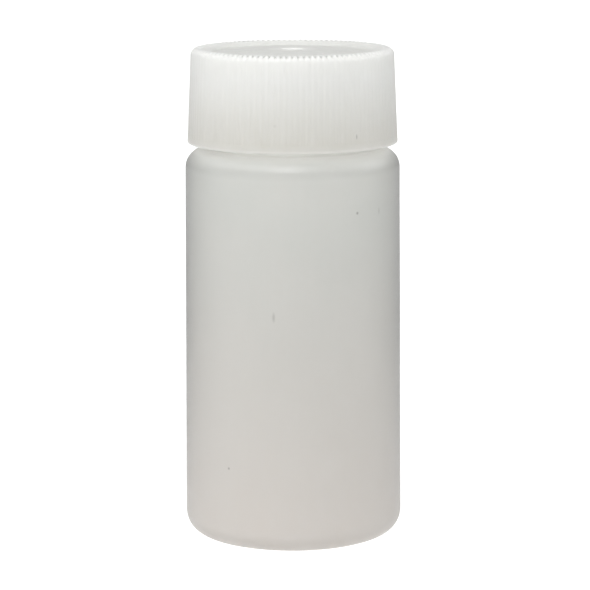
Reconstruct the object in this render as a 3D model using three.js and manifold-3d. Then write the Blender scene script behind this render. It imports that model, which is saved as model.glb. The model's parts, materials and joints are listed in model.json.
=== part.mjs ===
// A 20 mL natural-HDPE reagent vial with a fine-ribbed screw cap and a foam liner, as a three.js scene.
// Millimetres, +Z up. The origin is the centre of the ring that the vial stands on.
import * as THREE from "three";
import { ParametricGeometry } from "three/addons/geometries/ParametricGeometry.js";
import { mergeVertices } from "three/addons/utils/BufferGeometryUtils.js";
import Module from "manifold-3d";

const wasm = await Module();
wasm.setup();

// ---- Driving dimensions -------------------------------------------------------------------------
const BODY_RADIUS = 13.75;
const OVERALL_HEIGHT = 61.95; // base ring to cap rim, cap closed
const WALL = 1.0;

// Base: a rounded heel, a flat standing ring, and a pushed-up centre with the moulding gate's mark.
const HEEL_RADIUS = 2.65;
const RING_WIDTH = 2.2;
const PUSH_UP = 0.9;
const PUSH_UP_SLOPE = 1.6;
const FLOOR_THICKNESS = 1.1;
const GATE_MARK = { radius: 1.1, height: 0.25 };

// Neck: a 24 mm single-start screw finish, one turn, eight threads to the inch.
const THREAD_PITCH = 25.4 / 8;
const NECK = { radius: 10.8, bore: 9.5, height: 9.65, rootFillet: 0.3, lipRound: 0.3 };
const SHOULDER_RADIUS = 2.6;
const THREAD = { depth: 1.05, rootHalf: 0.95, crestHalf: 0.45, anchor: 0.35 };
const THREAD_TURNS = 1.0;
const THREAD_START_GAP = 1.2; // lip to the top edge of the neck thread
const THREAD_RUN_OUT = 0.07; // share of the ridge's length over which each end fades into the wall

// Cap: skirt, smooth bottom band, ribs that climb over the corner, and a dished top.
const CAP = { bottomRadius: 13.46, topRadius: 13.05, height: 12.15, corner: 0.9, innerRadius: 12.1 };
const CAP_EDGE_ROUND = 0.25;
const CAP_BAND = 0.85;
const RIBS = { count: 108, depth: 0.25, inset: 0.04, cornerDegrees: 70 };
const CORE_RADIUS = 12.5; // between the skirt's inner wall and the bottoms of the ribs
const SKIN_LAP = 0.25; // how far the skin and the core run into each other
const DISH = { radius: 10.5, slope: 0.6, depth: 0.6 };
const GATE_WELL = { radius: 1.7, depth: 0.2, nubRadius: 0.5, nubHeight: 0.15 };
const PANEL_THICKNESS = 1.5;
const MOUTH_CHAMFER = 0.5;
const CUT_OVERRUN = 1; // the cavity's cutter reaches this far below the skirt
const THREAD_PLAY = 0.17; // axial gap between the flanks that carry the closing force

const LINER = { thickness: 1.0, sideGap: 0.2 };

const SEGMENTS = 72;
const ARC_STEPS = 5;
const INNER_ARC_STEPS = 3;
const EDGE_ARC_STEPS = 2;
const MERGE_DISTANCE = 1e-4;
const HALF_FACET = Math.PI / SEGMENTS; // turns a ridge's corners off the edges of the turned wall

// ---- Heights that follow from them --------------------------------------------------------------
const capBottom = OVERALL_HEIGHT - CAP.height;
const panelUnderside = OVERALL_HEIGHT - DISH.depth - PANEL_THICKNESS;
const lip = panelUnderside - LINER.thickness;
const shoulderTop = lip - NECK.height;
const wallTop = shoulderTop - SHOULDER_RADIUS;

// ---- Helpers ------------------------------------------------------------------------------------
// Points on a quarter turn or less of a circle, in the (radius, height) half plane.
function arc(centreRadius, centreHeight, radius, fromDegrees, toDegrees, steps = ARC_STEPS) {
  const points = [];
  for (let i = 0; i <= steps; i++) {
    const angle = THREE.MathUtils.degToRad(fromDegrees + ((toDegrees - fromDegrees) * i) / steps);
    points.push([centreRadius + radius * Math.cos(angle), centreHeight + radius * Math.sin(angle)]);
  }
  return points;
}

// A profile of [radius, height] points turned about +Z.
function turned(profile) {
  const points = profile.map(([radius, height]) => new THREE.Vector2(Math.max(radius, 0), height));
  return new THREE.LatheGeometry(points, SEGMENTS).rotateX(Math.PI / 2);
}

function solidFrom(geometry) {
  const bare = geometry.clone();
  bare.deleteAttribute("normal");
  bare.deleteAttribute("uv");
  const merged = mergeVertices(bare, MERGE_DISTANCE);
  const mesh = new wasm.Mesh({
    numProp: 3,
    vertProperties: merged.attributes.position.array,
    triVerts: new Uint32Array(merged.index.array),
  });
  return new wasm.Manifold(mesh);
}

function geometryFrom(solid) {
  const mesh = solid.getMesh();
  const geometry = new THREE.BufferGeometry();
  geometry.setAttribute("position", new THREE.BufferAttribute(mesh.vertProperties, 3));
  geometry.setIndex(new THREE.BufferAttribute(mesh.triVerts, 1));
  geometry.computeVertexNormals();
  return geometry;
}

// A trapezoid ridge wound on a right-hand helix. It stands outwards (+1) or inwards (-1) from the wall
// radius, is anchored a little way into the wall, and fades to a point inside it at both ends.
function threadRidge(wallRadius, outwards, startHeight) {
  const corners = [
    [-THREAD.rootHalf, 0],
    [THREAD.rootHalf, 0],
    [THREAD.crestHalf, 1],
    [-THREAD.crestHalf, 1],
  ];
  const loop = outwards > 0 ? [...corners].reverse() : corners;
  const rise = THREAD.depth + THREAD.anchor;
  const steps = Math.round(SEGMENTS * THREAD_TURNS);
  const point = (along, around, target) => {
    const turn = along * THREAD_TURNS;
    const ramp = Math.min(1, along / THREAD_RUN_OUT, (1 - along) / THREAD_RUN_OUT);
    const [axial, radial] = loop[Math.round(around * loop.length) % loop.length];
    const radius = wallRadius + outwards * (radial * rise * ramp - THREAD.anchor);
    const angle = turn * 2 * Math.PI + HALF_FACET;
    const height = startHeight + turn * THREAD_PITCH + axial * Math.sqrt(ramp);
    target.set(radius * Math.cos(angle), radius * Math.sin(angle), height);
  };
  return solidFrom(new ParametricGeometry(point, steps, loop.length));
}

// ---- Bottle body --------------------------------------------------------------------------------
function bottleProfile() {
  const ringOuter = BODY_RADIUS - HEEL_RADIUS;
  const ringInner = ringOuter - RING_WIDTH;
  const innerRadius = BODY_RADIUS - WALL;
  const innerHeel = HEEL_RADIUS - WALL;
  const innerShoulder = SHOULDER_RADIUS - WALL;
  const outside = [
    [0, PUSH_UP - GATE_MARK.height],
    [GATE_MARK.radius, PUSH_UP - GATE_MARK.height],
    [GATE_MARK.radius, PUSH_UP],
    [ringInner - PUSH_UP_SLOPE, PUSH_UP],
    [ringInner, 0],
    ...arc(ringOuter, HEEL_RADIUS, HEEL_RADIUS, -90, 0),
    ...arc(BODY_RADIUS - SHOULDER_RADIUS, wallTop, SHOULDER_RADIUS, 0, 90),
    [NECK.radius + NECK.rootFillet, shoulderTop],
    [NECK.radius, shoulderTop + NECK.rootFillet],
  ];
  const mouth = [
    ...arc(NECK.radius - NECK.lipRound, lip - NECK.lipRound, NECK.lipRound, 0, 90, EDGE_ARC_STEPS),
    ...arc(NECK.bore + NECK.lipRound, lip - NECK.lipRound, NECK.lipRound, 90, 180, EDGE_ARC_STEPS),
  ];
  const inside = [
    [NECK.bore, shoulderTop - WALL],
    ...arc(innerRadius - innerShoulder, wallTop, innerShoulder, 90, 0, INNER_ARC_STEPS),
    ...arc(innerRadius - innerHeel, FLOOR_THICKNESS + innerHeel, innerHeel, 0, -90, INNER_ARC_STEPS),
    [ringInner, FLOOR_THICKNESS],
    [ringInner - PUSH_UP_SLOPE, PUSH_UP + FLOOR_THICKNESS],
    [0, PUSH_UP + FLOOR_THICKNESS],
  ];
  return [...outside, ...mouth, ...inside];
}

// Centre height of the neck ridge at its low end; its high end stops THREAD_START_GAP under the lip.
const neckThreadStart = lip - THREAD_START_GAP - THREAD.rootHalf - THREAD_TURNS * THREAD_PITCH;

function bottleBody() {
  const shell = solidFrom(turned(bottleProfile()));
  return shell.add(threadRidge(NECK.radius, 1, neckThreadStart));
}

// ---- Screw cap, in a frame whose origin is the centre of the skirt's bottom edge ----------------
// Skirt radius at a height above the skirt's bottom edge: the moulding draft narrows it upwards.
function skirtRadius(height) {
  return THREE.MathUtils.lerp(CAP.bottomRadius, CAP.topRadius, height / (CAP.height - CAP.corner));
}

// The outer skin as a ring: ribs that climb over the corner, the flat rim, and the dish's sloping side.
// Its hidden inner side runs inside the core, and its two ends run a little way into the core.
function capSkin() {
  const cornerBase = CAP.height - CAP.corner;
  const rimEdge = CAP.topRadius - CAP.corner;
  const ribbed = [
    [skirtRadius(CAP_BAND) - RIBS.inset, CAP_BAND - SKIN_LAP],
    ...arc(rimEdge - RIBS.inset, cornerBase, CAP.corner, 0, RIBS.cornerDegrees, INNER_ARC_STEPS),
  ];
  const smooth = [
    [rimEdge - RIBS.depth, CAP.height],
    [DISH.radius, CAP.height],
    [DISH.radius - DISH.slope - SKIN_LAP, CAP.height - DISH.depth - SKIN_LAP],
    [CORE_RADIUS - SKIN_LAP, cornerBase - DISH.depth],
    [CORE_RADIUS - SKIN_LAP, CAP_BAND - SKIN_LAP],
  ];
  const loop = [...ribbed, ...smooth];
  const point = (around, along, target) => {
    const spot = Math.round(along * loop.length) % loop.length;
    const isValley = Math.round(around * RIBS.count * 2) % 2 === 1 && spot < ribbed.length;
    const [radius, height] = loop[spot];
    const reach = radius - (isValley ? RIBS.depth : 0);
    const angle = around * 2 * Math.PI + HALF_FACET / 2;
    target.set(reach * Math.cos(angle), reach * Math.sin(angle), height);
  };
  return solidFrom(new ParametricGeometry(point, RIBS.count * 2, loop.length));
}

// The core that carries the skin: the smooth bottom band, the skirt's inner layer and the top panel.
function capCore() {
  const dishFloor = CAP.height - DISH.depth;
  const wellFloor = dishFloor - GATE_WELL.depth;
  return [
    [0, 0],
    ...arc(CAP.bottomRadius - CAP_EDGE_ROUND, CAP_EDGE_ROUND, CAP_EDGE_ROUND, -90, 0, EDGE_ARC_STEPS),
    [skirtRadius(CAP_BAND), CAP_BAND],
    [CORE_RADIUS, CAP_BAND],
    [CORE_RADIUS, CAP.height - CAP.corner],
    [DISH.radius - SKIN_LAP, dishFloor],
    [GATE_WELL.radius, dishFloor],
    [GATE_WELL.radius, wellFloor],
    [GATE_WELL.nubRadius, wellFloor],
    [GATE_WELL.nubRadius, wellFloor + GATE_WELL.nubHeight],
    [0, wellFloor + GATE_WELL.nubHeight],
  ];
}

function capCavity() {
  const ceiling = panelUnderside - capBottom;
  return [
    [0, -CUT_OVERRUN],
    [CAP.innerRadius + MOUTH_CHAMFER, -CUT_OVERRUN],
    [CAP.innerRadius + MOUTH_CHAMFER, 0],
    [CAP.innerRadius, MOUTH_CHAMFER],
    [CAP.innerRadius, ceiling],
    [0, ceiling],
  ];
}

function screwCap() {
  const shell = solidFrom(turned(capCore()))
    .add(capSkin())
    .subtract(solidFrom(turned(capCavity())));
  const flankSum = THREAD.rootHalf + THREAD.crestHalf;
  const sunkShare = (CAP.innerRadius - NECK.radius - THREAD.depth) / THREAD.depth;
  const overlap = flankSum - sunkShare * (THREAD.rootHalf - THREAD.crestHalf);
  const start = neckThreadStart - overlap - THREAD_PLAY - capBottom;
  return shell.add(threadRidge(CAP.innerRadius, -1, start));
}

// ---- Foam liner ---------------------------------------------------------------------------------
function capLiner() {
  const radius = CAP.innerRadius - LINER.sideGap;
  const profile = [[0, 0], [radius, 0], [radius, LINER.thickness], [0, LINER.thickness]];
  return solidFrom(turned(profile));
}

// ---- Materials and scene ------------------------------------------------------------------------
const bottlePlastic = new THREE.MeshStandardMaterial({ color: 0xcbccc6, roughness: 0.42, metalness: 0 });
const capPlastic = new THREE.MeshStandardMaterial({ color: 0xe2e3dd, roughness: 0.38, metalness: 0 });
const linerFoam = new THREE.MeshStandardMaterial({ color: 0xf4f4f0, roughness: 0.8, metalness: 0 });

function piece(name, solid, material) {
  const mesh = new THREE.Mesh(geometryFrom(solid), material);
  mesh.name = name;
  return mesh;
}

const liner = piece("cap_liner", capLiner(), linerFoam);
liner.position.z = lip - capBottom;

const closure = new THREE.Group();
closure.position.z = capBottom;
closure.add(piece("screw_cap", screwCap(), capPlastic), liner);

const vial = new THREE.Group();
vial.add(piece("bottle_body", bottleBody(), bottlePlastic), closure);

export default vial;
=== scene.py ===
"""Looks for a 20 mL natural polyethylene vial with a fine-ribbed screw cap and a foam liner.

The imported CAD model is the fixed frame. Each of its three nodes is replaced here by a finer mesh of
the same size in the same place, and given a procedural material. Profiles are worked in millimetres.
"""

import json
import math
from collections import namedtuple

import bmesh
import bpy
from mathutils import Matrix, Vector


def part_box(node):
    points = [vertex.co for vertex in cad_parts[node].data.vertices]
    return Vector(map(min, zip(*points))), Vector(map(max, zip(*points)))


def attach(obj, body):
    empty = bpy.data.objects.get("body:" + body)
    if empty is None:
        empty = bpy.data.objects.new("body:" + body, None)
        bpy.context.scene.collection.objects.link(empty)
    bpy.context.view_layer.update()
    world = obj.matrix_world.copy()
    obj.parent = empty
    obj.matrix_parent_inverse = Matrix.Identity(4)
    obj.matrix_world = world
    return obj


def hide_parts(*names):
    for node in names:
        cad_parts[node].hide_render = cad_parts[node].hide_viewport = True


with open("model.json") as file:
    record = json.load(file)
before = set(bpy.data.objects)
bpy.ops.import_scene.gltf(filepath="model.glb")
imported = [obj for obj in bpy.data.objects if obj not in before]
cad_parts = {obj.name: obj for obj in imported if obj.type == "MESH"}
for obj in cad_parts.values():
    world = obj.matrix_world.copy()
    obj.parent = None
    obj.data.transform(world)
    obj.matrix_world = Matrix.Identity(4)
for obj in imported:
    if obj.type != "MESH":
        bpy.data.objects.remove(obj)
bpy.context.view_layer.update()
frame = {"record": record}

# ---- Sizes read from the frame, in millimetres ---------------------------------------------------
MM = 0.001
FULL_TURN = 2 * math.pi
body_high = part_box("bottle_body")[1] / MM
cap_low, cap_high = (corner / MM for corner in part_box("screw_cap"))
liner_low, liner_high = (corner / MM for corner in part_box("cap_liner"))
BODY_RADIUS = body_high.x
LIP = body_high.z
CAP_BOTTOM = cap_low.z
CAP_TOP = cap_high.z
CAP_RADIUS = cap_high.x
LINER_RADIUS = liner_high.x
THREAD_PITCH = frame["record"]["behaviour"]["couplings"][0]["ratio"] * FULL_TURN / MM

# ---- Sizes of the details ------------------------------------------------------------------------
WALL = 1.0
BASE_THICKNESS = 1.1
HEEL = 2.65
RING_WIDTH = 2.2
PUSH_UP = 0.9
PUSH_UP_RUN = 1.9  # how far the base takes to climb from the standing ring to its pushed-up middle
GATE_MARK_RADIUS = 1.1
GATE_MARK_HEIGHT = 0.25
GATE_MARK_ROUND = 0.15
GATE_MARK_CENTRE = 0.25  # radius of the flat disc that closes the mesh at the axis
NECK_RADIUS = 10.8
BORE = 9.5
BORE_FLARE = 1.0
NECK_HEIGHT = 9.65
SHOULDER = 2.6
NECK_FILLET = 0.3
LIP_ROUND = 0.3
SHOULDER_TOP = LIP - NECK_HEIGHT
WALL_TOP = SHOULDER_TOP - SHOULDER
INNER_CENTRE = 0.4  # radius of the disc that closes it inside the bottle
BOTTLE_COLUMNS = 360

THREAD_DEPTH = 1.05
THREAD_ROOT_HALF = 0.95
THREAD_CREST_HALF = 0.45
THREAD_TURNS = 1.0
THREAD_RUN_OUT = 0.07
THREAD_START_GAP = 1.2
THREAD_PLAY = 0.17

SEAM_HEIGHT = 0.035
SEAM_HALF_WIDTH = 0.07
SEAM_FADE = 0.5

WAVINESS = 0.03
SWELL_LEAN = 0.11  # the swells and ripples of the wall turn and repeat with height, in radians per mm
SWELL_RISE = 0.17
RIPPLE_COUNT = 5
RIPPLE_LEAN = 0.23
RIPPLE_SHARE = 0.35

CAP_INNER = 12.1
CAP_TOP_RADIUS = 13.05
CAP_CORNER = 0.9
CREST_RADIUS = CAP_TOP_RADIUS - CAP_CORNER
RIM_RISE = 0.3  # how far the rim climbs outward, from the dish to its crest at the corner
CAP_BAND = 0.85
CAP_EDGE = 0.25
CEILING_ROUND = 0.3
MOUTH_CHAMFER = 0.5
MOUTH_ROUND = 0.1
RIB_COUNT = 108
RIB_DEPTH = 0.045
CREST_RIB_DEPTH = 0.3
CREST_RIB_FALL = 0.5
RIB_RUN_IN = 0.25
RIB_END_RADIUS = 11.45
RIB_RUN_OUT = 0.5
RIB_COLUMNS = 8
DISH_RADIUS = 10.5
DISH_SLOPE = 0.6
DISH_DEPTH = 0.6
DISH_CROWN = 0.4
WELL_RADIUS = 1.45
WELL_DEPTH = 0.6
WELL_ROUND = 0.1
NUB_RADIUS = 0.4
NUB_HEIGHT = 0.48

LINER_EDGE = 0.15
LINER_PRINT_DEPTH = 0.06
LINER_PRINT_REACH = 1.6  # where the print dies out, in halves of the lip's width from its middle
LINER_PRINT_MARGIN = 0.8
LINER_COLUMNS = 216

# ---- Mesh helpers --------------------------------------------------------------------------------
Ring = namedtuple("Ring", "radius height relief stride")


def smooth(share):
    """Eases a share between 0 and 1, flat at both ends."""
    share = max(0.0, min(1.0, share))
    return share * share * (3 - 2 * share)


def arc(centre_radius, centre_height, size, start, end, steps):
    """Points on a round stretch of a profile, from the start angle to the end angle in degrees."""
    points = []
    for i in range(steps + 1):
        angle = math.radians(start + (end - start) * i / steps)
        radius = centre_radius + size * math.cos(angle)
        height = centre_height + size * math.sin(angle)
        points.append((radius, height))
    return points


def line(start, end, steps):
    """Evenly spaced points from start to end, with neither end included."""
    points = []
    for i in range(1, steps):
        share = i / steps
        radius = start[0] + (end[0] - start[0]) * share
        height = start[1] + (end[1] - start[1]) * share
        points.append((radius, height))
    return points


def section(points, relief=None, stride=1):
    """Rings for a stretch of profile.

    The relief gives a height along the surface's normal. A stride above 1 leaves columns out.
    """
    return [Ring(radius, height, relief, stride) for radius, height in points]


def ring_normals(rings):
    """The profile's outward normal at each ring, from its neighbours."""
    normals = []
    last = len(rings) - 1
    for i in range(len(rings)):
        before, after = rings[max(i - 1, 0)], rings[min(i + 1, last)]
        run, rise = after.radius - before.radius, after.height - before.height
        length = math.hypot(run, rise) or 1.0
        normals.append((rise / length, -run / length))
    return normals


def bridge(mesh, lower, upper):
    """Fills the band between two rings, of which one may hold a multiple of the other's points."""
    count = min(len(lower), len(upper))
    fine_lower, fine_upper = len(lower) // count, len(upper) // count
    for i in range(count):
        bottom = [lower[(i * fine_lower + k) % len(lower)] for k in range(fine_lower + 1)]
        top = [upper[(i * fine_upper + k) % len(upper)] for k in range(fine_upper + 1)]
        mesh.faces.new(bottom + top[::-1])


def turned_piece(name, rings, angles):
    """A closed piece turned about +Z, from rings listed from one end on the axis to the other."""
    mesh = bmesh.new()
    loops = []
    for ring, (normal_r, normal_z) in zip(rings, ring_normals(rings)):
        loop = []
        for angle in angles[::ring.stride]:
            rise = ring.relief(angle, ring.radius, ring.height) if ring.relief else 0.0
            radius = ring.radius + normal_r * rise
            height = ring.height + normal_z * rise
            place = Vector((radius * math.cos(angle), radius * math.sin(angle), height))
            loop.append(mesh.verts.new(place * MM))
        loops.append(loop)
    mesh.faces.new(loops[0][::-1])
    mesh.faces.new(loops[-1])
    for lower, upper in zip(loops, loops[1:]):
        bridge(mesh, lower, upper)
    for face in mesh.faces:
        face.smooth = True
    data = bpy.data.meshes.new(name)
    mesh.to_mesh(data)
    mesh.free()
    piece = bpy.data.objects.new(name, data)
    bpy.context.scene.collection.objects.link(piece)
    return piece


def thread_height(angle, height, start):
    """Height of a one-start right-hand ridge whose low end is centred at height start, at angle 0."""
    best = 0.0
    turn = (angle / FULL_TURN) % 1.0
    while turn <= THREAD_TURNS:
        ends = min(turn, THREAD_TURNS - turn) / THREAD_RUN_OUT
        off_centre = abs(height - start - turn * THREAD_PITCH)
        flank = (THREAD_ROOT_HALF - off_centre) / (THREAD_ROOT_HALF - THREAD_CREST_HALF)
        best = max(best, THREAD_DEPTH * smooth(flank) * smooth(ends))
        turn += 1.0
    return best


# ---- Bottle --------------------------------------------------------------------------------------
NECK_THREAD_START = LIP - THREAD_START_GAP - THREAD_ROOT_HALF - THREAD_TURNS * THREAD_PITCH
CROWDING = 0.85  # how strongly the bottle's columns gather at the two mould seams


def seam_crowded_angles(count):
    """Angles round the axis, closest together at the mould seams, at 0 and at 180 degrees."""
    angles = []
    for i in range(count):
        even = FULL_TURN * i / count
        angles.append(even - CROWDING * math.sin(2 * even) / 2)
    return angles


def seam(angle, radius, height):
    """The fine raised line that the two halves of the mould leave. It dies out at the foot."""
    across = radius * math.sin(angle) / SEAM_HALF_WIDTH
    return SEAM_HEIGHT * math.exp(-across * across) * smooth(height / SEAM_FADE)


def wall_relief(angle, radius, height):
    """Mould seams, and the slight unevenness of a blown wall, which only ever sinks in."""
    swell = math.sin(2 * angle + SWELL_LEAN * height) * math.sin(SWELL_RISE * height + 1.0)
    ripple = math.sin(RIPPLE_COUNT * angle - RIPPLE_LEAN * height + 2.0)
    both = RIPPLE_SHARE * ripple + (1 - RIPPLE_SHARE) * swell
    sunk = WAVINESS * (both - 1.0) / 2
    return seam(angle, radius, height) + sunk - SEAM_HEIGHT


def base_relief(angle, radius, height):
    return seam(angle, radius, height) * smooth(radius - GATE_MARK_RADIUS)


def neck_relief(angle, radius, height):
    return max(thread_height(angle, height, NECK_THREAD_START), seam(angle, radius, height))


def bottle_rings():
    ring_outer = BODY_RADIUS - HEEL
    ring_inner = ring_outer - RING_WIDTH
    push_up_radius = ring_inner - PUSH_UP_RUN
    mark_bottom = PUSH_UP - GATE_MARK_HEIGHT
    mark_round = GATE_MARK_ROUND
    gate_mark = [
        (0.5 * GATE_MARK_RADIUS, mark_bottom),
        *arc(GATE_MARK_RADIUS - mark_round, mark_bottom + mark_round, mark_round, -90, 0, 3),
        (GATE_MARK_RADIUS + mark_round / 3, PUSH_UP - mark_round / 3),
        (GATE_MARK_RADIUS + mark_round * 4 / 3, PUSH_UP),
    ]
    push_up = line((GATE_MARK_RADIUS, PUSH_UP), (push_up_radius, PUSH_UP), 6)
    for i in range(9):
        share = i / 8
        push_up.append((push_up_radius + PUSH_UP_RUN * share, PUSH_UP * (1 - smooth(share))))
    foot = [(ring_inner + RING_WIDTH * share, 0.0) for share in (0.25, 0.5, 0.75)]
    heel = arc(ring_outer, HEEL, HEEL, -90, 0, 14)
    wall = line((BODY_RADIUS, HEEL), (BODY_RADIUS, WALL_TOP), 30)
    shoulder = arc(BODY_RADIUS - SHOULDER, WALL_TOP, SHOULDER, 0, 90, 14)
    root = arc(NECK_RADIUS + NECK_FILLET, SHOULDER_TOP + NECK_FILLET, NECK_FILLET, 270, 180, 4)
    neck = line((NECK_RADIUS, SHOULDER_TOP + NECK_FILLET), (NECK_RADIUS, LIP - LIP_ROUND), 76)
    mouth = [
        *arc(NECK_RADIUS - LIP_ROUND, LIP - LIP_ROUND, LIP_ROUND, 0, 90, 5),
        (0.5 * (NECK_RADIUS + BORE), LIP),
        *arc(BORE + LIP_ROUND, LIP - LIP_ROUND, LIP_ROUND, 90, 180, 5),
    ]
    inner_radius = BODY_RADIUS - WALL
    inner_shoulder = SHOULDER - WALL
    inner_heel = HEEL - WALL
    bore = line((BORE, LIP - LIP_ROUND), (BORE, SHOULDER_TOP), 10)
    bore_exit = arc(BORE + BORE_FLARE, SHOULDER_TOP, BORE_FLARE, 180, 270, 6)
    inside = [
        *arc(inner_radius - inner_shoulder, WALL_TOP, inner_shoulder, 90, 0, 8),
        *line((inner_radius, WALL_TOP), (inner_radius, BASE_THICKNESS + inner_heel), 16),
        *arc(inner_radius - inner_heel, BASE_THICKNESS + inner_heel, inner_heel, 0, -90, 8),
        (0.5 * (ring_inner + ring_outer), BASE_THICKNESS),
    ]
    for i in range(9):
        share = i / 8
        inside.append((ring_inner - PUSH_UP_RUN * share, BASE_THICKNESS + PUSH_UP * smooth(share)))
    inner_middle = BASE_THICKNESS + PUSH_UP
    inside += line((push_up_radius, inner_middle), (0, inner_middle), 6)
    return [
        *section([(GATE_MARK_CENTRE, mark_bottom)], stride=4),
        *section(gate_mark + push_up + foot, base_relief),
        *section(heel + wall + shoulder, wall_relief),
        *section(root),
        *section(neck, neck_relief),
        *section(mouth + bore + bore_exit + inside),
        *section([(INNER_CENTRE, inner_middle)], stride=4),
    ]


# ---- Cap -----------------------------------------------------------------------------------------
def skirt_radius(height):
    """The skirt's outer radius at a height above its bottom edge: the draft narrows it upwards."""
    share = height / (CAP_TOP - CAP_BOTTOM - CAP_CORNER)
    return CAP_RADIUS + (CAP_TOP_RADIUS - CAP_RADIUS) * share


def rib_groove(angle):
    """Depth of the groove between two ribs, from 0 on a rib's crest to 1 at the groove's bottom."""
    return (0.5 + 0.5 * math.cos(angle * RIB_COUNT)) ** 1.5


def rib_relief(angle, radius, height):
    """Ribs that start just above the smooth band, climb over the corner and run out on the rim."""
    from_band = smooth((height - CAP_BOTTOM - CAP_BAND) / RIB_RUN_IN)
    at_crest = smooth(1 - (CAP_TOP - height) / CREST_RIB_FALL)
    onto_rim = smooth((radius - RIB_END_RADIUS) / RIB_RUN_OUT)
    depth = RIB_DEPTH + (CREST_RIB_DEPTH - RIB_DEPTH) * at_crest
    return -depth * rib_groove(angle) * from_band * onto_rim


def cap_thread_start():
    """The cap's ridge sits just under the neck's, so that closing the cap presses their flanks."""
    sunk = (CAP_INNER - NECK_RADIUS - THREAD_DEPTH) / THREAD_DEPTH
    flanks = THREAD_ROOT_HALF + THREAD_CREST_HALF - sunk * (THREAD_ROOT_HALF - THREAD_CREST_HALF)
    return NECK_THREAD_START - flanks - THREAD_PLAY


def cap_thread_relief(angle, radius, height):
    return thread_height(angle, height, cap_thread_start())


def cap_rings():
    ceiling = LIP + liner_high.z - liner_low.z
    dish_floor = CAP_TOP - DISH_DEPTH
    dish_edge = DISH_RADIUS - DISH_SLOPE
    well_floor = dish_floor + DISH_CROWN - WELL_DEPTH
    nub_top = well_floor + NUB_HEIGHT
    corner_base = CAP_TOP - CAP_CORNER
    dish_top = CAP_TOP - RIM_RISE
    mouth = CAP_BOTTOM + MOUTH_CHAMFER
    skirt_height = corner_base - CAP_BOTTOM
    under_panel = line((0.0, ceiling), (CAP_INNER - CEILING_ROUND, ceiling), 6)
    inside = [
        *arc(CAP_INNER - CEILING_ROUND, ceiling - CEILING_ROUND, CEILING_ROUND, 90, 0, 4),
        *line((CAP_INNER, ceiling - CEILING_ROUND), (CAP_INNER, mouth), 60),
        (CAP_INNER, mouth),
        (CAP_INNER + 0.5 * MOUTH_CHAMFER, CAP_BOTTOM + 0.4 * MOUTH_CHAMFER),
    ]
    edge = [
        *arc(CAP_INNER + MOUTH_CHAMFER, CAP_BOTTOM + MOUTH_ROUND, MOUTH_ROUND, 180, 270, 3),
        *arc(CAP_RADIUS - CAP_EDGE, CAP_BOTTOM + CAP_EDGE, CAP_EDGE, -90, 0, 6),
        (skirt_radius(0.7 * CAP_BAND), CAP_BOTTOM + 0.7 * CAP_BAND),
    ]
    ribs_begun = CAP_BAND + 1.2 * RIB_RUN_IN
    flank = []
    for i in range(6):
        height = CAP_BAND + (ribs_begun - CAP_BAND) * i / 6
        flank.append((skirt_radius(height), CAP_BOTTOM + height))
    for i in range(1, 16):
        height = ribs_begun + (skirt_height - ribs_begun) * i / 16
        flank.append((skirt_radius(height), CAP_BOTTOM + height))
    corner = arc(CREST_RADIUS, corner_base, CAP_CORNER, 0, 90, 16)
    rim = []
    for i in range(1, 12):
        share = i / 12
        radius = CREST_RADIUS + (DISH_RADIUS - CREST_RADIUS) * share
        rim.append((radius, CAP_TOP - RIM_RISE * share * (1 + share) / 2))
    slope = []
    for i in range(7):
        share = i / 6
        fall = (DISH_DEPTH - RIM_RISE) * smooth(share)
        slope.append((DISH_RADIUS - DISH_SLOPE * share, dish_top - fall))
    dish = []
    for i in range(1, 17):
        radius = dish_edge + (WELL_RADIUS - dish_edge) * i / 16
        dish.append((radius, dish_floor + DISH_CROWN * (1 - (radius / dish_edge) ** 2)))
    well_edge = dish[-1][1]
    well = [
        (WELL_RADIUS - 0.6 * WELL_ROUND, well_edge - 0.3 * WELL_ROUND),
        (WELL_RADIUS - WELL_ROUND, well_edge - WELL_ROUND),
        (WELL_RADIUS - 2 * WELL_ROUND, well_floor + 0.4 * WELL_ROUND),
        (WELL_RADIUS - 2.8 * WELL_ROUND, well_floor),
        (NUB_RADIUS + WELL_ROUND, well_floor),
        (NUB_RADIUS, well_floor + 0.5 * WELL_ROUND),
        (NUB_RADIUS - 0.5 * WELL_ROUND, nub_top - 0.3 * WELL_ROUND),
        (NUB_RADIUS - 1.5 * WELL_ROUND, nub_top),
    ]
    return [
        *section(under_panel, stride=4),
        *section(inside, cap_thread_relief, stride=4),
        *section(edge),
        *section(flank + corner + rim + slope, rib_relief),
        *section(dish + well, stride=8),
    ]


# ---- Liner ---------------------------------------------------------------------------------------
def lip_print(angle, radius, height):
    """The ring that the bottle's lip presses into the underside of the foam."""
    middle = 0.5 * (NECK_RADIUS + BORE)
    half_width = 0.5 * (NECK_RADIUS - BORE)
    return -LINER_PRINT_DEPTH * smooth(LINER_PRINT_REACH - abs(radius - middle) / half_width)


def liner_rings():
    low, high = LIP, LIP + liner_high.z - liner_low.z
    edge = LINER_EDGE
    print_start = BORE - LINER_PRINT_MARGIN
    under = line((0.0, low), (print_start, low), 8)
    printed = line((print_start, low), (LINER_RADIUS - edge, low), 24)
    side = [
        *arc(LINER_RADIUS - edge, low + edge, edge, -90, 0, 5),
        *line((LINER_RADIUS, low + edge), (LINER_RADIUS, high - edge), 4),
        *arc(LINER_RADIUS - edge, high - edge, edge, 0, 90, 5),
    ]
    over = line((LINER_RADIUS - edge, high), (0.0, high), 8)
    return [*section(under), *section(printed, lip_print), *section(side), *section(over)]


# ---- Materials -----------------------------------------------------------------------------------
BLACK = (0, 0, 0, 1)
WHITE = (1, 1, 1, 1)
MILKINESS = 2.5  # how far light runs inside the plastic, in millimetres
SHEEN = 0.35
CLOUD_REACH = 0.15  # how far from its middle a noise is cut off: at a small reach patches show more
TONE_REACH = 0.2

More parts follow.
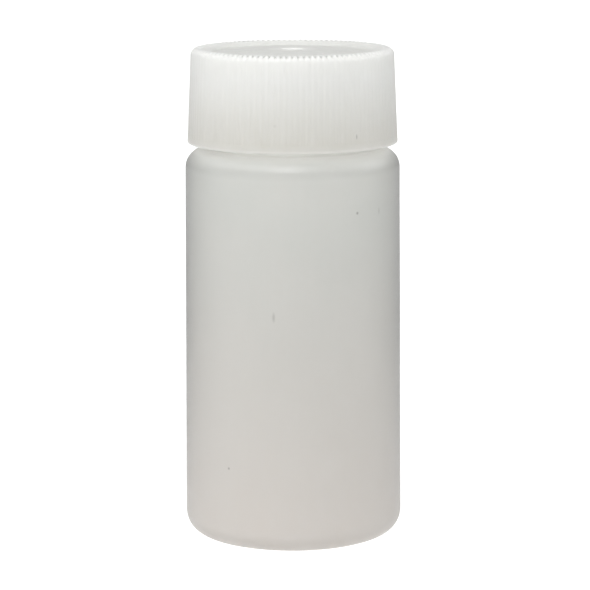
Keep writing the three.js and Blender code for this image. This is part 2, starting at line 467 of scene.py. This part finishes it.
EDGE_SHADE_POWER = 2.5
EDGE_SHADE_HEIGHT = 28.0  # the height at which the darker outline has its full strength
EDGE_SHADE_AT_FLOOR = 0.15
BOTTLE_EDGE_SHADE = 0.72
CAP_EDGE_SHADE = 0.12
OUTLINE_NORMALS = (0.2, 0.9)  # how level a surface is when the darker outline starts and stops fading
SHOULDER_SHADE = 0.07
SHOULDER_SHADE_START = (WALL_TOP - 0.2, WALL_TOP + 0.6)
SHOULDER_SHADE_END = (SHOULDER_TOP - 1.7, SHOULDER_TOP - 0.6)
DISH_SHADE = 0.12
DISH_UNEVENNESS = 0.25
DISH_MIDDLE_SHARE = 0.2
CREST_SHADE = 0.12
GROOVE_SHADE = 0.3
GROOVE_BAND = (-0.2, 0.8)  # the cosines between which a groove's shade sets in

BOTTLE_LOW = (0.62, 0.59, 0.56, 1)
BOTTLE_HIGH = (0.59, 0.597, 0.575, 1)
BOTTLE_CLOUD = (0.645, 0.63, 0.605, 1)
BOTTLE_CLOUD_SHARE = 0.25
# Painted light: the neck is lightened to stand in for light coming through the milky cap on to it.
NECK_PAINTED_LIGHT = (0.70, 0.70, 0.675, 1)
NECK_BLEND = 0.7
BOTTLE_WARM_HEIGHT = 3.0
BOTTLE_COOL_HEIGHT = 42.0
BOTTLE_ROUGHNESS = (0.285, 0.38)
BOTTLE_IOR = 1.51
BOTTLE_FLOW_BUMP = 0.016
BOTTLE_PEEL_BUMP = 0.01
BOTTLE_GRAIN_BUMP = 0.002

# Painted light: the cap's colour runs from a darker tone low on the skirt to a lighter one near the
# top, where more light falls.
CAP_LOW = (0.65, 0.64, 0.60, 1)
CAP_HIGH = (0.83, 0.835, 0.81, 1)
CAP_CLOUD = (0.76, 0.755, 0.73, 1)
CAP_CLOUD_SHARE = 0.2
# Painted light: the cap's bottom edge is lightened to stand in for light coming through the milky skirt
# into the gap below it.
CAP_PAINTED_EDGE_LIGHT = (0.79, 0.78, 0.74, 1)
CAP_PAINTED_EDGE_LIGHT_HEIGHT = 0.4
CAP_LOW_HEIGHT = CAP_BOTTOM + 1.0
CAP_HIGH_HEIGHT = CAP_TOP - 3.0
CAP_ROUGHNESS = (0.3, 0.44)
CAP_IOR = 1.49
CAP_PEEL_BUMP = 0.012
CAP_GRAIN_BUMP = 0.004

FOAM_TONES = ((0.90, 0.90, 0.87, 1), (0.94, 0.94, 0.92, 1))
FOAM_DIMPLE = (0.80, 0.80, 0.77, 1)
FOAM_DIMPLE_BUMP = 0.05
FOAM_ROUGHNESS = (0.6, 0.8)
FOAM_MILKINESS = 0.6

SPECK_COLOUR = (0.12, 0.118, 0.108, 1)
SPECK_CORE = 0.3  # the share of a speck's width at which it starts to fade
# Each mark has the angle round the axis in degrees, and its height, width, length and strength.
BOTTLE_SPECKS = [
    (-54.1, 42.2, 0.25, 0.25, 0.5),
    (-126.0, 10.3, 0.22, 0.22, 0.5),
    (-100.1, 29.6, 0.25, 0.8, 0.25),
    (-38.0, 42.1, 0.2, 0.6, 0.2),
]
CAP_SPECKS = [
    (-53.3, 51.7, 0.15, 0.5, 0.6),
    (-99.5, 53.3, 0.3, 0.3, 0.12),
]


class Nodes:
    """A short way to build the node tree of a material or of the world."""

    def __init__(self, owner, output="ShaderNodeOutputMaterial"):
        owner.use_nodes = True
        self.owner = owner
        self.tree = owner.node_tree
        self.tree.nodes.clear()
        self.output = self.tree.nodes.new(output)

    def feed(self, socket, value):
        """Links another node's output to a socket, or sets the socket to a plain value."""
        if isinstance(value, bpy.types.NodeSocket):
            self.tree.links.new(value, socket)
        else:
            socket.default_value = value

    def add(self, kind, inputs=None, **settings):
        node = self.tree.nodes.new(kind)
        for key, value in settings.items():
            setattr(node, key, value)
        for key, value in (inputs or {}).items():
            self.feed(node.inputs[key], value)
        return node

    def place(self):
        """Object coordinates, which are the part's frame in metres."""
        return self.add("ShaderNodeTexCoord").outputs["Object"]

    def stretched(self, scale):
        """Object coordinates in millimetres, scaled by axis."""
        inputs = {"Vector": self.place(), "Scale": tuple(part / MM for part in scale)}
        return self.add("ShaderNodeMapping", inputs).outputs["Vector"]

    def noise(self, scale, detail, roughness, stretch=(1, 1, 1)):
        inputs = {
            "Vector": self.stretched(stretch),
            "Scale": scale,
            "Detail": detail,
            "Roughness": roughness,
        }
        return self.add("ShaderNodeTexNoise", inputs).outputs["Fac"]

    def spread(self, value, from_low, from_high, to_low, to_high):
        """Maps a value from one range to another, clamped."""
        inputs = {
            "Value": value,
            "From Min": from_low,
            "From Max": from_high,
            "To Min": to_low,
            "To Max": to_high,
        }
        return self.add("ShaderNodeMapRange", inputs).outputs["Result"]

    def spread_noise(self, noise, reach, to_low, to_high):
        """Maps the middle of a noise's range, where nearly all of it lies, to another range."""
        return self.spread(noise, 0.5 - reach, 0.5 + reach, to_low, to_high)

    def mix(self, share, first, second):
        """Mixes two colours. A mix node's sockets share their names, so they are told apart by type."""
        node = self.add("ShaderNodeMix", data_type="RGBA")
        factor = [socket for socket in node.inputs if socket.type == "VALUE"][0]
        colours = [socket for socket in node.inputs if socket.type == "RGBA"]
        self.feed(factor, share)
        self.feed(colours[0], first)
        self.feed(colours[1], second)
        return [socket for socket in node.outputs if socket.type == "RGBA"][0]

    def math(self, operation, first, second=0.0):
        return self.add("ShaderNodeMath", {0: first, 1: second}, operation=operation).outputs[0]

    def times(self, first, second):
        return self.math("MULTIPLY", first, second)

    def darken(self, share, colour):
        return self.mix(share, colour, BLACK)

    def height(self):
        """Height above the floor in millimetres."""
        axes = self.add("ShaderNodeSeparateXYZ", {0: self.place()})
        return self.math("DIVIDE", axes.outputs["Z"], MM)

    def radius(self):
        """Distance from the axis in millimetres."""
        return self.vector("LENGTH", self.stretched((1, 1, 0)))["Value"]

    def vector(self, operation, first, second=(0, 0, 0)):
        return self.add("ShaderNodeVectorMath", {0: first, 1: second}, operation=operation).outputs

    def shaded_edge(self, colour, darkening):
        """Darkens the walls towards the outline, less so near the floor, which lights them from below.

        The outward direction stands in for the normal, so that the ribs don't show up as stripes.
        """
        surface = self.add("ShaderNodeNewGeometry").outputs
        outward = self.vector("MULTIPLY", surface["Position"], (1, 1, 0))["Vector"]
        outward = self.vector("NORMALIZE", outward)["Vector"]
        weight = self.add("ShaderNodeLayerWeight", {"Blend": 0.5, "Normal": outward})
        at_outline = self.math("POWER", weight.outputs["Facing"], EDGE_SHADE_POWER)
        upward = self.add("ShaderNodeSeparateXYZ", {0: surface["Normal"]}).outputs["Z"]
        on_wall = self.spread(self.math("ABSOLUTE", upward), *OUTLINE_NORMALS, 1.0, 0.0)
        low = EDGE_SHADE_AT_FLOOR * darkening
        above_floor = self.spread(self.height(), 0.0, EDGE_SHADE_HEIGHT, low, darkening)
        return self.darken(self.times(self.times(at_outline, on_wall), above_floor), colour)

    def bump(self, value, depth, normal=None):
        inputs = {"Height": value, "Strength": 1.0, "Distance": depth * MM}
        if normal is not None:
            inputs["Normal"] = normal
        return self.add("ShaderNodeBump", inputs).outputs["Normal"]

    def finish(self, shader):
        self.tree.links.new(shader, self.output.inputs["Surface"])
        return self.owner


def specks(nodes, colour, radius, spots):
    """Small dark marks on a surface of about the given radius."""
    for angle, height, width, length, strength in spots:
        turn = math.radians(angle)
        spot = (radius * math.cos(turn) * MM, radius * math.sin(turn) * MM, height * MM)
        offset = nodes.vector("SUBTRACT", nodes.place(), spot)["Vector"]
        offset = nodes.vector("MULTIPLY", offset, (1, 1, width / length))["Vector"]
        distance = nodes.vector("LENGTH", offset)["Value"]
        share = nodes.spread(distance, SPECK_CORE * width * MM, width * MM, strength, 0.0)
        colour = nodes.mix(share, colour, SPECK_COLOUR)
    return colour


def shaded_shoulder(nodes, colour):
    """Darkens the lower half of the bottle's shoulder, so that its highlight stays narrow."""
    height = nodes.height()
    from_wall = nodes.spread(height, *SHOULDER_SHADE_START, 0.0, SHOULDER_SHADE)
    to_neck = nodes.spread(height, *SHOULDER_SHADE_END, 1.0, 0.0)
    return nodes.darken(nodes.times(from_wall, to_neck), colour)


def milky_plastic(nodes, colour, roughness, ior, normal):
    """Ends a material as plastic that light goes into and comes out of again."""
    inputs = {
        "Base Color": colour,
        "Roughness": roughness,
        "IOR": ior,
        "Specular IOR Level": SHEEN,
        "Subsurface Weight": 1.0,
        "Subsurface Radius": (1.0, 1.0, 1.0),
        "Subsurface Scale": MILKINESS * MM,
        "Normal": normal,
    }
    shader = nodes.add("ShaderNodeBsdfPrincipled", inputs)
    return nodes.finish(shader.outputs["BSDF"])


def polyethylene():
    """Natural blow-moulded polyethylene: milky, slightly translucent, satin, with faint flow marks."""
    nodes = Nodes(bpy.data.materials.new("natural_polyethylene"))
    height = nodes.height()
    warm_to_cool = nodes.spread(height, BOTTLE_WARM_HEIGHT, BOTTLE_COOL_HEIGHT, 0.0, 1.0)
    colour = nodes.mix(warm_to_cool, BOTTLE_LOW, BOTTLE_HIGH)
    clouds = nodes.noise(0.16, 3.0, 0.5, (1, 1, 0.6))
    clouds = nodes.spread_noise(clouds, CLOUD_REACH, 0.0, BOTTLE_CLOUD_SHARE)
    colour = nodes.mix(clouds, colour, BOTTLE_CLOUD)
    colour = shaded_shoulder(nodes, colour)
    # Painted light: the neck and the top of the shoulder are lightened, for light coming through the
    # cap.
    painted_neck_light = nodes.spread(height, SHOULDER_TOP - NECK_BLEND, SHOULDER_TOP, 0.0, 1.0)
    colour = nodes.mix(painted_neck_light, colour, NECK_PAINTED_LIGHT)
    colour = nodes.shaded_edge(colour, BOTTLE_EDGE_SHADE)
    colour = specks(nodes, colour, BODY_RADIUS, BOTTLE_SPECKS)
    flow = nodes.noise(1.1, 3.0, 0.6, (1, 1, 0.06))
    peel = nodes.noise(2.6, 2.0, 0.5)
    grain = nodes.noise(14.0, 2.0, 0.6)
    normal = nodes.bump(flow, BOTTLE_FLOW_BUMP)
    normal = nodes.bump(peel, BOTTLE_PEEL_BUMP, normal)
    normal = nodes.bump(grain, BOTTLE_GRAIN_BUMP, normal)
    roughness = nodes.spread_noise(peel, TONE_REACH, *BOTTLE_ROUGHNESS)
    return milky_plastic(nodes, colour, roughness, BOTTLE_IOR, normal)


def shaded_dish(nodes, colour):
    """Darkens the cap's dished floor, where less light comes back, in uneven patches."""
    radius = nodes.radius()
    floor_part = nodes.spread(radius, DISH_RADIUS - DISH_SLOPE, DISH_RADIUS + DISH_SLOPE, 1.0, 0.0)
    middle, outside = 1.2 * WELL_RADIUS, 2.5 * WELL_RADIUS
    off_centre = nodes.spread(radius, middle, outside, DISH_MIDDLE_SHARE, 1.0)
    lightest, darkest = 1 - DISH_UNEVENNESS, 1 + DISH_UNEVENNESS
    patches = nodes.noise(0.9, 3.0, 0.6)
    patches = nodes.spread_noise(patches, CLOUD_REACH, lightest * DISH_SHADE, darkest * DISH_SHADE)
    return nodes.darken(nodes.times(nodes.times(floor_part, off_centre), patches), colour)


def shaded_crest(nodes, colour):
    """Darkens the crest of the cap's rim, and the grooves that cut through it most."""
    axes = nodes.add("ShaderNodeSeparateXYZ", {0: nodes.place()}).outputs
    phase = nodes.times(nodes.math("ARCTAN2", axes["Y"], axes["X"]), RIB_COUNT)
    depth = nodes.spread(nodes.math("COSINE", phase), *GROOVE_BAND, CREST_SHADE, GROOVE_SHADE)
    radius = nodes.radius()
    inner_part = nodes.spread(radius, RIB_END_RADIUS, RIB_END_RADIUS + RIB_RUN_OUT, 0.0, 1.0)
    outer_part = nodes.spread(radius, CREST_RADIUS, CREST_RADIUS + 0.5 * CAP_CORNER, 1.0, 0.0)
    return nodes.darken(nodes.times(nodes.times(inner_part, outer_part), depth), colour)


def polypropylene():
    """Natural-white injection-moulded polypropylene: whiter and a little rougher than the bottle."""
    nodes = Nodes(bpy.data.materials.new("natural_polypropylene"))
    height = nodes.height()
    # Painted light: lighter towards the top, where more light falls, and darker low on the skirt.
    up = nodes.spread(height, CAP_LOW_HEIGHT, CAP_HIGH_HEIGHT, 0.0, 1.0)
    colour = nodes.mix(up, CAP_LOW, CAP_HIGH)
    clouds = nodes.spread_noise(nodes.noise(0.3, 3.0, 0.5), CLOUD_REACH, 0.0, CAP_CLOUD_SHARE)
    colour = nodes.mix(clouds, colour, CAP_CLOUD)
    # Painted light: a lighter colour along the cap's bottom edge, for light coming through the skirt
    # into the gap.
    painted_edge_light = nodes.spread(height, CAP_BOTTOM, CAP_BOTTOM + CAP_PAINTED_EDGE_LIGHT_HEIGHT, 1.0, 0.0)
    colour = nodes.mix(painted_edge_light, colour, CAP_PAINTED_EDGE_LIGHT)
    colour = nodes.shaded_edge(colour, CAP_EDGE_SHADE)
    colour = shaded_dish(nodes, colour)
    colour = shaded_crest(nodes, colour)
    colour = specks(nodes, colour, skirt_radius(CAP_BAND), CAP_SPECKS)
    peel = nodes.noise(3.2, 2.0, 0.5)
    grain = nodes.noise(16.0, 2.0, 0.6)
    normal = nodes.bump(peel, CAP_PEEL_BUMP)
    normal = nodes.bump(grain, CAP_GRAIN_BUMP, normal)
    roughness = nodes.spread_noise(peel, TONE_REACH, *CAP_ROUGHNESS)
    return milky_plastic(nodes, colour, roughness, CAP_IOR, normal)


def polyethylene_foam():
    """White closed-cell foam with a skin: fine cells show as shallow dimples."""
    nodes = Nodes(bpy.data.materials.new("polyethylene_foam"))
    cells = nodes.add("ShaderNodeTexVoronoi", {"Vector": nodes.stretched((1, 1, 1)), "Scale": 4.5})
    dimples = nodes.spread(cells.outputs["Distance"], 0.0, 0.5, 0.0, 1.0)
    tone = nodes.noise(1.2, 3.0, 0.6)
    colour = nodes.mix(nodes.spread_noise(tone, TONE_REACH, 0.0, 1.0), *FOAM_TONES)
    colour = nodes.mix(nodes.spread(dimples, 0.0, 0.3, 0.25, 0.0), colour, FOAM_DIMPLE)
    inputs = {
        "Base Color": colour,
        "Roughness": nodes.spread_noise(tone, TONE_REACH, *FOAM_ROUGHNESS),
        "Subsurface Weight": 0.5,
        "Subsurface Scale": FOAM_MILKINESS * MM,
        "Normal": nodes.bump(dimples, FOAM_DIMPLE_BUMP),
    }
    shader = nodes.add("ShaderNodeBsdfPrincipled", inputs)
    return nodes.finish(shader.outputs["BSDF"])


# ---- Pieces --------------------------------------------------------------------------------------
def even_angles(count):
    return [FULL_TURN * i / count for i in range(count)]


def fit(piece, material, body, node):
    """Gives a piece its material, and puts it in the place of a CAD node."""
    piece.data.materials.append(material)
    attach(piece, body)
    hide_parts(node)


bottle = turned_piece("bottle_shell", bottle_rings(), seam_crowded_angles(BOTTLE_COLUMNS))
fit(bottle, polyethylene(), "bottle", "bottle_body")

cap = turned_piece("ribbed_cap", cap_rings(), even_angles(RIB_COUNT * RIB_COLUMNS))
fit(cap, polypropylene(), "cap", "screw_cap")

liner = turned_piece("foam_liner", liner_rings(), even_angles(LINER_COLUMNS))
fit(liner, polyethylene_foam(), "liner", "cap_liner")

# ---- Stage: floor, light and camera --------------------------------------------------------------
# The floor and the camera's place are in metres, the light through the cap in millimetres.
FLOOR_HALF = 6.0
EYE_DISTANCE = 0.3605
EYE_HEIGHT = 0.0931
EYE_PITCH = 1.48  # degrees below level
CAMERA_ROLL = 0.15
LENS = 172.0
LENS_SHIFT = (0.0056, -0.7088)
NEAREST_SEEN = 0.01
AT_STANDPOINT = 0.0001  # how close the camera counts as standing where the photographer stood
ROOM_SEEN = 1.0
ROOM_IN_FRONT = 0.35
ROOM_BEHIND = 0.3
FLOOR_TONE = 0.85
FLOOR_GLOW = 0.35
SUN_SPREAD = 36
# Each softbox has its azimuth and elevation in degrees, and its strength.
SUNS = [
    ("front_softbox", -98, 52, 1.75),
    ("front_left_softbox", -145, 50, 0.3),
    ("left_softbox", 165, 40, 0.38),
    ("right_softbox", 20, 30, 0.58),
]
THROUGH_CAP_HEIGHT = 53.0
THROUGH_CAP_SIZE = 4.0
THROUGH_CAP_POWER = 0.003
THROUGH_CAP_RISE = 2.0  # how far the cap lifts before this light is gone


def pale_floor():
    """A plain pale floor that reaches far past the picture's edges."""
    mesh = bpy.data.meshes.new("floor")
    corners = [(-1, -1), (1, -1), (1, 1), (-1, 1)]
    mesh.from_pydata([(x * FLOOR_HALF, y * FLOOR_HALF, 0.0) for x, y in corners], [], [(0, 1, 2, 3)])
    floor = bpy.data.objects.new("floor", mesh)
    bpy.context.scene.collection.objects.link(floor)
    nodes = Nodes(bpy.data.materials.new("floor_paint"))
    seen = nodes.add("ShaderNodeLightPath").outputs["Is Camera Ray"]
    inputs = {
        "Base Color": (FLOOR_TONE, FLOOR_TONE, FLOOR_TONE, 1),
        "Roughness": 0.8,
        "Emission Color": WHITE,
        "Emission Strength": nodes.times(seen, FLOOR_GLOW),
    }
    shader = nodes.add("ShaderNodeBsdfPrincipled", inputs)
    mesh.materials.append(nodes.finish(shader.outputs["BSDF"]))
    return floor


def drive(data, path, things, expression):
    """Makes a setting follow the gap between two things, in metres."""
    driver = data.driver_add(path).driver
    gap = driver.variables.new()
    gap.name = "gap"
    gap.type = "LOC_DIFF"
    for target, thing in zip(gap.targets, things):
        target.id = thing
    driver.expression = expression


def linked_to(name, thing):
    """A collection that names the only thing a lamp lights, or the only thing that blocks it."""
    only = bpy.data.collections.new(name)
    only.objects.link(thing)
    return only


def soft_suns(floor):
    """Broad distant lamps, the strongest in front.

    Milky plastic throws next to no shadow, because the light goes on through it. So only the floor
    blocks these lamps, and the gap under the cap is nearly as light as the walls round it.
    """
    blockers = linked_to("softbox_blockers", floor)
    for name, azimuth, elevation, strength in SUNS:
        lamp = bpy.data.lights.new(name, "SUN")
        lamp.angle = math.radians(SUN_SPREAD)
        lamp.energy = strength
        light = bpy.data.objects.new(name, lamp)
        light.rotation_euler = (math.radians(90 - elevation), 0.0, math.radians(azimuth + 90))
        light.light_linking.blocker_collection = blockers
        bpy.context.scene.collection.objects.link(light)


def light_through_cap(floor):
    """Stands in for the light that gets through the milky cap, on to the bottle's neck and shoulder.

    It fades as the cap lifts, because the room then lights the neck.
    """
    lamp = bpy.data.lights.new("through_cap", "POINT")
    fade = f"max(0, 1 - gap / {THROUGH_CAP_RISE * MM})"
    drive(lamp, "energy", (cap, bottle), f"{THROUGH_CAP_POWER} * {fade}")
    lamp.shadow_soft_size = THROUGH_CAP_SIZE * MM
    light = bpy.data.objects.new("through_cap", lamp)
    light.location = (0.0, 0.0, THROUGH_CAP_HEIGHT * MM)
    light.visible_camera = False
    light.visible_glossy = False
    light.light_linking.blocker_collection = linked_to("through_cap_blockers", floor)
    light.light_linking.receiver_collection = linked_to("through_cap_receivers", bottle)
    bpy.context.scene.collection.objects.link(light)


def studio_world():
    """An even pale room: white to the camera, brighter in front of the object than behind it."""
    world = bpy.data.worlds.new("studio")
    bpy.context.scene.world = world
    nodes = Nodes(world, "ShaderNodeOutputWorld")
    direction = nodes.add("ShaderNodeTexCoord").outputs["Generated"]
    backward = nodes.add("ShaderNodeSeparateXYZ", {0: direction}).outputs["Y"]
    strength = nodes.spread(backward, -1.0, 1.0, ROOM_IN_FRONT, ROOM_BEHIND)
    room = nodes.add("ShaderNodeBackground", {"Color": WHITE, "Strength": strength})
    seen = nodes.add("ShaderNodeBackground", {"Color": WHITE, "Strength": ROOM_SEEN})
    to_camera = nodes.add("ShaderNodeLightPath").outputs["Is Camera Ray"]
    inputs = {0: to_camera, 1: room.outputs[0], 2: seen.outputs[0]}
    nodes.finish(nodes.add("ShaderNodeMixShader", inputs).outputs[0])


def photo_camera():
    """A nearly level camera above the vial, with its lens shifted down to frame it.

    The shift applies only at the photographer's standpoint, so that a camera moved round the object
    keeps it centred.
    """
    data = bpy.data.cameras.new("camera")
    camera = bpy.data.objects.new("camera", data)
    standpoint = bpy.data.objects.new("photographer", None)
    for thing in (camera, standpoint):
        thing.location = (0.0, -EYE_DISTANCE, EYE_HEIGHT)
        bpy.context.scene.collection.objects.link(thing)
    camera.rotation_euler = (math.radians(90 - EYE_PITCH), math.radians(CAMERA_ROLL), 0.0)
    data.lens = LENS
    data.clip_start = NEAREST_SEEN
    for path, shift in zip(("shift_x", "shift_y"), LENS_SHIFT):
        drive(data, path, (camera, standpoint), f"{shift} if gap < {AT_STANDPOINT} else 0")
    bpy.context.scene.camera = camera


ground = pale_floor()
soft_suns(ground)
light_through_cap(ground)
studio_world()
photo_camera()
bpy.context.scene.view_settings.view_transform = "Standard"
